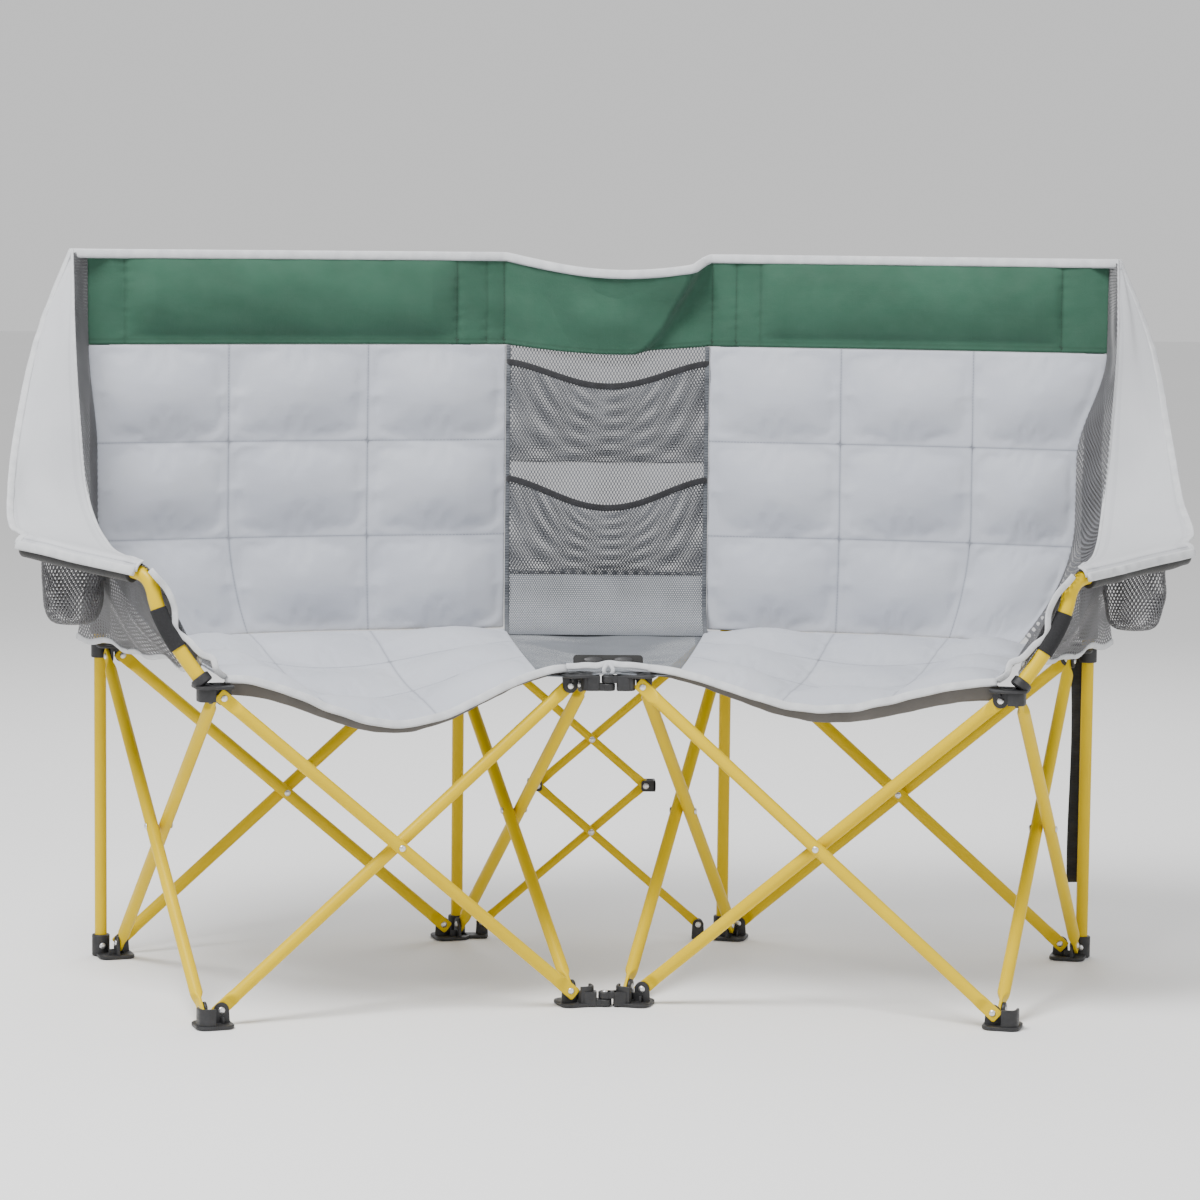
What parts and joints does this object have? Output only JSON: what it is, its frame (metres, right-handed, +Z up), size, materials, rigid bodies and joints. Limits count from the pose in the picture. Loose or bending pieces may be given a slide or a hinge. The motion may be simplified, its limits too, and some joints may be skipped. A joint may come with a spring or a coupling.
{
  "type": "two_seat_folding_camping_chair",
  "caption": "Folding two-seat camping loveseat: crossed-tube umbrella frame, padded slung seats and backs, mesh centre with pockets, cloth wings over the arms, cup holders",
  "frame": {"origin": "on the floor, under the middle of the bounding box", "axes": "+X is the sitters' left and the right of the picture, the sitters face -Y, +Z is up"},
  "size_m": [1.5842, 0.6678, 0.9895],
  "materials": {
    "yellow_tube": "gloss powder-coated steel tube",
    "black_plastic": "moulded, fine grain",
    "black_foam": "foam sleeve",
    "grey_cloth": "woven polyester, quilted on the pads",
    "green_cloth": "woven polyester",
    "dark_mesh": "knitted mesh and woven trim"
  },
  "bodies": {
    "front_inner_feet": {"right_front_inner_foot": "black_plastic", "left_front_inner_foot": "black_plastic"},
    "right_front_tube_b": {"right_front_tube_b": "yellow_tube"},
    "right_front_tube_a": {"right_front_tube_a": "yellow_tube"},
    "right_front_outer_foot": {"right_front_outer_foot": "black_plastic"},
    "right_front_outer_hub": {"right_front_outer_hub": "black_plastic", "right_arm_tube": "yellow_tube", "right_arm_sleeve": "black_foam", "right_side_cloth": "dark_mesh", "right_cup_holder": "dark_mesh"},
    "front_inner_hubs": {"right_front_inner_hub": "black_plastic", "left_front_inner_hub": "black_plastic"},
    "right_inboard_tube_a": {"right_inboard_tube_a": "yellow_tube"},
    "right_inboard_tube_b": {"right_inboard_tube_b": "yellow_tube"},
    "right_back_inner_foot": {"right_back_inner_foot": "black_plastic", "right_inner_post": "yellow_tube", "headrest_band": "green_cloth", "centre_back_mesh": "dark_mesh"},
    "right_back_inner_hub": {"right_back_inner_hub": "black_plastic"},
    "right_outboard_tube_b": {"right_outboard_tube_b": "yellow_tube"},
    "right_outboard_tube_a": {"right_outboard_tube_a": "yellow_tube"},
    "right_back_outer_foot": {"right_back_outer_foot": "black_plastic", "right_outer_post": "yellow_tube", "right_back_pad": "grey_cloth", "right_wing": "grey_cloth"},
    "right_back_outer_hub": {"right_back_outer_hub": "black_plastic"},
    "right_back_tube_a": {"right_back_tube_a": "yellow_tube"},
    "right_back_tube_b": {"right_back_tube_b": "yellow_tube"},
    "left_front_tube_a": {"left_front_tube_a": "yellow_tube"},
    "left_front_tube_b": {"left_front_tube_b": "yellow_tube"},
    "left_front_outer_foot": {"left_front_outer_foot": "black_plastic"},
    "left_front_outer_hub": {"left_front_outer_hub": "black_plastic", "left_arm_tube": "yellow_tube", "left_arm_sleeve": "black_foam", "left_side_cloth": "dark_mesh", "left_cup_holder": "dark_mesh"},
    "left_inboard_tube_b": {"left_inboard_tube_b": "yellow_tube"},
    "left_inboard_tube_a": {"left_inboard_tube_a": "yellow_tube"},
    "left_back_inner_foot": {"left_back_inner_foot": "black_plastic", "left_inner_post": "yellow_tube"},
    "left_back_inner_hub": {"left_back_inner_hub": "black_plastic"},
    "left_outboard_tube_a": {"left_outboard_tube_a": "yellow_tube"},
    "left_outboard_tube_b": {"left_outboard_tube_b": "yellow_tube"},
    "left_back_outer_foot": {"left_back_outer_foot": "black_plastic", "left_outer_post": "yellow_tube", "left_back_pad": "grey_cloth", "left_wing": "grey_cloth"},
    "left_back_outer_hub": {"left_back_outer_hub": "black_plastic"},
    "left_back_tube_b": {"left_back_tube_b": "yellow_tube"},
    "left_back_tube_a": {"left_back_tube_a": "yellow_tube"},
    "lattice_lower_tube_a": {"lattice_lower_tube_a": "yellow_tube"},
    "lattice_lower_tube_b": {"lattice_lower_tube_b": "yellow_tube"},
    "left_lattice_clip": {"left_lattice_clip": "black_plastic"},
    "right_lattice_clip": {"right_lattice_clip": "black_plastic"},
    "lattice_upper_tube_a": {"lattice_upper_tube_a": "yellow_tube"},
    "lattice_upper_tube_b": {"lattice_upper_tube_b": "yellow_tube"},
    "seat_sling": {"right_seat_pad": "grey_cloth", "left_seat_pad": "grey_cloth", "centre_seat_mesh": "dark_mesh"}
  },
  "joints": [
    {"name": "fold", "type": "hinge", "parent": "front_inner_feet", "child": "right_front_tube_b", "pos_m": [0.05098, -0.16056, 0.021], "axis": [-0.2924, -0.9563, 0], "range_deg": [0, 37], "deforming": ["right_back_pad", "right_seat_pad", "right_wing", "right_side_cloth", "left_back_pad", "left_seat_pad", "left_wing", "left_side_cloth", "headrest_band", "centre_back_mesh", "centre_seat_mesh"]},
    {"name": "right_front_tube_a_pivot", "type": "hinge", "parent": "right_front_tube_b", "child": "right_front_tube_a", "pos_m": [0.27308, -0.23787, 0.2235], "axis": [-0.2924, -0.9563, 0], "range_deg": [-75, 1]},
    {"name": "right_front_outer_foot_pivot", "type": "hinge", "parent": "right_front_tube_a", "child": "right_front_outer_foot", "pos_m": [0.49518, -0.31519, 0.021], "axis": [-0.2924, -0.9563, 0], "range_deg": [-1, 38]},
    {"name": "right_front_outer_hub_pivot", "type": "hinge", "parent": "right_front_tube_b", "child": "right_front_outer_hub", "pos_m": [0.50044, -0.29797, 0.426], "axis": [-0.2924, -0.9563, 0], "range_deg": [-38, 1]},
    {"name": "front_inner_hubs_pivot", "type": "hinge", "parent": "right_front_tube_a", "child": "front_inner_hubs", "pos_m": [0.04571, -0.17777, 0.426], "axis": [-0.2924, -0.9563, 0], "range_deg": [-1, 38]},
    {"name": "right_inboard_tube_a_pivot", "type": "hinge", "parent": "front_inner_feet", "child": "right_inboard_tube_a", "pos_m": [0.03051, -0.14764, 0.021], "axis": [-0.9428, 0.3333, 0], "range_deg": [-38, 1]},
    {"name": "right_inboard_tube_b_pivot", "type": "hinge", "parent": "right_inboard_tube_a", "child": "right_inboard_tube_b", "pos_m": [0.11733, 0.07092, 0.2235], "axis": [-0.9428, 0.3333, 0], "range_deg": [-1, 75]},
    {"name": "right_back_inner_foot_pivot", "type": "hinge", "parent": "right_inboard_tube_b", "child": "right_back_inner_foot", "pos_m": [0.20415, 0.28948, 0.021], "axis": [-0.9428, 0.3333, 0], "range_deg": [-38, 1]},
    {"name": "right_back_inner_hub_pivot", "type": "hinge", "parent": "right_inboard_tube_a", "child": "right_back_inner_hub", "pos_m": [0.18718, 0.29548, 0.426], "axis": [-0.9428, 0.3333, 0], "range_deg": [-1, 38]},
    {"name": "right_outboard_tube_b_pivot", "type": "hinge", "parent": "right_front_outer_foot", "child": "right_outboard_tube_b", "pos_m": [0.50867, -0.29382, 0.021], "axis": [0.9428, -0.3333, 0], "range_deg": [-1, 38]},
    {"name": "right_outboard_tube_a_pivot", "type": "hinge", "parent": "right_outboard_tube_b", "child": "right_outboard_tube_a", "pos_m": [0.59549, -0.07526, 0.2235], "axis": [0.9428, -0.3333, 0], "range_deg": [-75, 1]},
    {"name": "right_back_outer_foot_pivot", "type": "hinge", "parent": "right_outboard_tube_a", "child": "right_back_outer_foot", "pos_m": [0.6823, 0.1433, 0.021], "axis": [0.9428, -0.3333, 0], "range_deg": [-1, 38]},
    {"name": "right_back_outer_hub_pivot", "type": "hinge", "parent": "right_outboard_tube_b", "child": "right_back_outer_hub", "pos_m": [0.66533, 0.1493, 0.426], "axis": [0.9428, -0.3333, 0], "range_deg": [-38, 1]},
    {"name": "right_back_tube_a_pivot", "type": "hinge", "parent": "right_back_inner_foot", "child": "right_back_tube_a", "pos_m": [0.21764, 0.31085, 0.021], "axis": [0.2924, 0.9563, 0], "range_deg": [-38, 1]},
    {"name": "right_back_tube_b_pivot", "type": "hinge", "parent": "right_back_tube_a", "child": "right_back_tube_b", "pos_m": [0.43974, 0.23353, 0.2235], "axis": [0.2924, 0.9563, 0], "range_deg": [-1, 75]},
    {"name": "left_front_tube_a_pivot", "type": "hinge", "parent": "front_inner_feet", "child": "left_front_tube_a", "pos_m": [-0.04571, -0.17777, 0.021], "axis": [0.2924, -0.9563, 0], "range_deg": [-38, 1]},
    {"name": "left_front_tube_b_pivot", "type": "hinge", "parent": "left_front_tube_a", "child": "left_front_tube_b", "pos_m": [-0.27308, -0.23787, 0.2235], "axis": [0.2924, -0.9563, 0], "range_deg": [-1, 75]},
    {"name": "left_front_outer_foot_pivot", "type": "hinge", "parent": "left_front_tube_b", "child": "left_front_outer_foot", "pos_m": [-0.50044, -0.29797, 0.021], "axis": [0.2924, -0.9563, 0], "range_deg": [-38, 1]},
    {"name": "left_front_outer_hub_pivot", "type": "hinge", "parent": "left_front_tube_a", "child": "left_front_outer_hub", "pos_m": [-0.49518, -0.31519, 0.426], "axis": [0.2924, -0.9563, 0], "range_deg": [-1, 38]},
    {"name": "left_inboard_tube_b_pivot", "type": "hinge", "parent": "front_inner_feet", "child": "left_inboard_tube_b", "pos_m": [-0.04749, -0.15364, 0.021], "axis": [0.9428, 0.3333, 0], "range_deg": [-1, 38]},
    {"name": "left_inboard_tube_a_pivot", "type": "hinge", "parent": "left_inboard_tube_b", "child": "left_inboard_tube_a", "pos_m": [-0.11733, 0.07092, 0.2235], "axis": [0.9428, 0.3333, 0], "range_deg": [-75, 1]},
    {"name": "left_back_inner_foot_pivot", "type": "hinge", "parent": "left_inboard_tube_a", "child": "left_back_inner_foot", "pos_m": [-0.18718, 0.29548, 0.021], "axis": [0.9428, 0.3333, 0], "range_deg": [-1, 38]},
    {"name": "left_back_inner_hub_pivot", "type": "hinge", "parent": "left_inboard_tube_b", "child": "left_back_inner_hub", "pos_m": [-0.20415, 0.28948, 0.426], "axis": [0.9428, 0.3333, 0], "range_deg": [-38, 1]},
    {"name": "left_outboard_tube_a_pivot", "type": "hinge", "parent": "left_front_outer_foot", "child": "left_outboard_tube_a", "pos_m": [-0.52564, -0.29982, 0.021], "axis": [-0.9428, -0.3333, 0], "range_deg": [-38, 1]},
    {"name": "left_outboard_tube_b_pivot", "type": "hinge", "parent": "left_outboard_tube_a", "child": "left_outboard_tube_b", "pos_m": [-0.59549, -0.07526, 0.2235], "axis": [-0.9428, -0.3333, 0], "range_deg": [-1, 75]},
    {"name": "left_back_outer_foot_pivot", "type": "hinge", "parent": "left_outboard_tube_b", "child": "left_back_outer_foot", "pos_m": [-0.66533, 0.1493, 0.021], "axis": [-0.9428, -0.3333, 0], "range_deg": [-38, 1]},
    {"name": "left_back_outer_hub_pivot", "type": "hinge", "parent": "left_outboard_tube_a", "child": "left_back_outer_hub", "pos_m": [-0.6823, 0.1433, 0.426], "axis": [-0.9428, -0.3333, 0], "range_deg": [-1, 38]},
    {"name": "left_back_tube_b_pivot", "type": "hinge", "parent": "left_back_inner_foot", "child": "left_back_tube_b", "pos_m": [-0.21238, 0.29363, 0.021], "axis": [-0.2924, 0.9563, 0], "range_deg": [-1, 38]},
    {"name": "left_back_tube_a_pivot", "type": "hinge", "parent": "left_back_tube_b", "child": "left_back_tube_a", "pos_m": [-0.43974, 0.23353, 0.2235], "axis": [-0.2924, 0.9563, 0], "range_deg": [-75, 1]},
    {"name": "lattice_lower_tube_a_pivot", "type": "hinge", "parent": "right_back_inner_foot", "child": "lattice_lower_tube_a", "pos_m": [0.15667, 0.30013, 0.021], "axis": [0, 1, 0], "range_deg": [-1, 38]},
    {"name": "lattice_lower_tube_b_pivot", "type": "hinge", "parent": "lattice_lower_tube_a", "child": "lattice_lower_tube_b", "pos_m": [0, 0.30663, 0.156], "axis": [0, 1, 0], "range_deg": [-75, 1]},
    {"name": "left_lattice_clip_pivot", "type": "hinge", "parent": "lattice_lower_tube_a", "child": "left_lattice_clip", "pos_m": [-0.07833, 0.30013, 0.2235], "axis": [0, 1, 0], "range_deg": [-38, 1]},
    {"name": "right_lattice_clip_pivot", "type": "hinge", "parent": "lattice_lower_tube_b", "child": "right_lattice_clip", "pos_m": [0.07833, 0.31313, 0.2235], "axis": [0, 1, 0], "range_deg": [-1, 38]},
    {"name": "lattice_upper_tube_a_pivot", "type": "hinge", "parent": "lattice_lower_tube_a", "child": "lattice_upper_tube_a", "pos_m": [-0.07833, 0.31313, 0.2235], "axis": [0, 1, 0], "range_deg": [-75, 1]},
    {"name": "lattice_upper_tube_b_pivot", "type": "hinge", "parent": "lattice_lower_tube_b", "child": "lattice_upper_tube_b", "pos_m": [0.07833, 0.30013, 0.2235], "axis": [0, 1, 0], "range_deg": [-1, 75]},
    {"name": "seat_sling_drop", "type": "hinge", "parent": "front_inner_hubs", "child": "seat_sling", "pos_m": [0, -0.08678, 0.447], "axis": [-1, 0, 0], "range_deg": [-1, 86.5]}
  ],
  "couplings": [
    {"joint": "right_front_tube_a_pivot", "follows": "fold", "ratio": -2},
    {"joint": "right_front_outer_foot_pivot", "follows": "fold", "ratio": 1},
    {"joint": "right_front_outer_hub_pivot", "follows": "fold", "ratio": -1},
    {"joint": "front_inner_hubs_pivot", "follows": "fold", "ratio": 1},
    {"joint": "right_inboard_tube_a_pivot", "follows": "fold", "ratio": -1},
    {"joint": "right_inboard_tube_b_pivot", "follows": "fold", "ratio": 2},
    {"joint": "right_back_inner_foot_pivot", "follows": "fold", "ratio": -1},
    {"joint": "right_back_inner_hub_pivot", "follows": "fold", "ratio": 1},
    {"joint": "right_outboard_tube_b_pivot", "follows": "fold", "ratio": 1},
    {"joint": "right_outboard_tube_a_pivot", "follows": "fold", "ratio": -2},
    {"joint": "right_back_outer_foot_pivot", "follows": "fold", "ratio": 1},
    {"joint": "right_back_outer_hub_pivot", "follows": "fold", "ratio": -1},
    {"joint": "right_back_tube_a_pivot", "follows": "fold", "ratio": -1},
    {"joint": "right_back_tube_b_pivot", "follows": "fold", "ratio": 2},
    {"joint": "left_front_tube_a_pivot", "follows": "fold", "ratio": -1},
    {"joint": "left_front_tube_b_pivot", "follows": "fold", "ratio": 2},
    {"joint": "left_front_outer_foot_pivot", "follows": "fold", "ratio": -1},
    {"joint": "left_front_outer_hub_pivot", "follows": "fold", "ratio": 1},
    {"joint": "left_inboard_tube_b_pivot", "follows": "fold", "ratio": 1},
    {"joint": "left_inboard_tube_a_pivot", "follows": "fold", "ratio": -2},
    {"joint": "left_back_inner_foot_pivot", "follows": "fold", "ratio": 1},
    {"joint": "left_back_inner_hub_pivot", "follows": "fold", "ratio": -1},
    {"joint": "left_outboard_tube_a_pivot", "follows": "fold", "ratio": -1},
    {"joint": "left_outboard_tube_b_pivot", "follows": "fold", "ratio": 2},
    {"joint": "left_back_outer_foot_pivot", "follows": "fold", "ratio": -1},
    {"joint": "left_back_outer_hub_pivot", "follows": "fold", "ratio": 1},
    {"joint": "left_back_tube_b_pivot", "follows": "fold", "ratio": 1},
    {"joint": "left_back_tube_a_pivot", "follows": "fold", "ratio": -2},
    {"joint": "lattice_lower_tube_a_pivot", "follows": "fold", "ratio": 1},
    {"joint": "lattice_lower_tube_b_pivot", "follows": "fold", "ratio": -2},
    {"joint": "left_lattice_clip_pivot", "follows": "fold", "ratio": -1},
    {"joint": "right_lattice_clip_pivot", "follows": "fold", "ratio": 1},
    {"joint": "lattice_upper_tube_a_pivot", "follows": "fold", "ratio": -2},
    {"joint": "lattice_upper_tube_b_pivot", "follows": "fold", "ratio": 2},
    {"joint": "seat_sling_drop", "follows": "fold", "ratio": 2.2973}
  ]
}
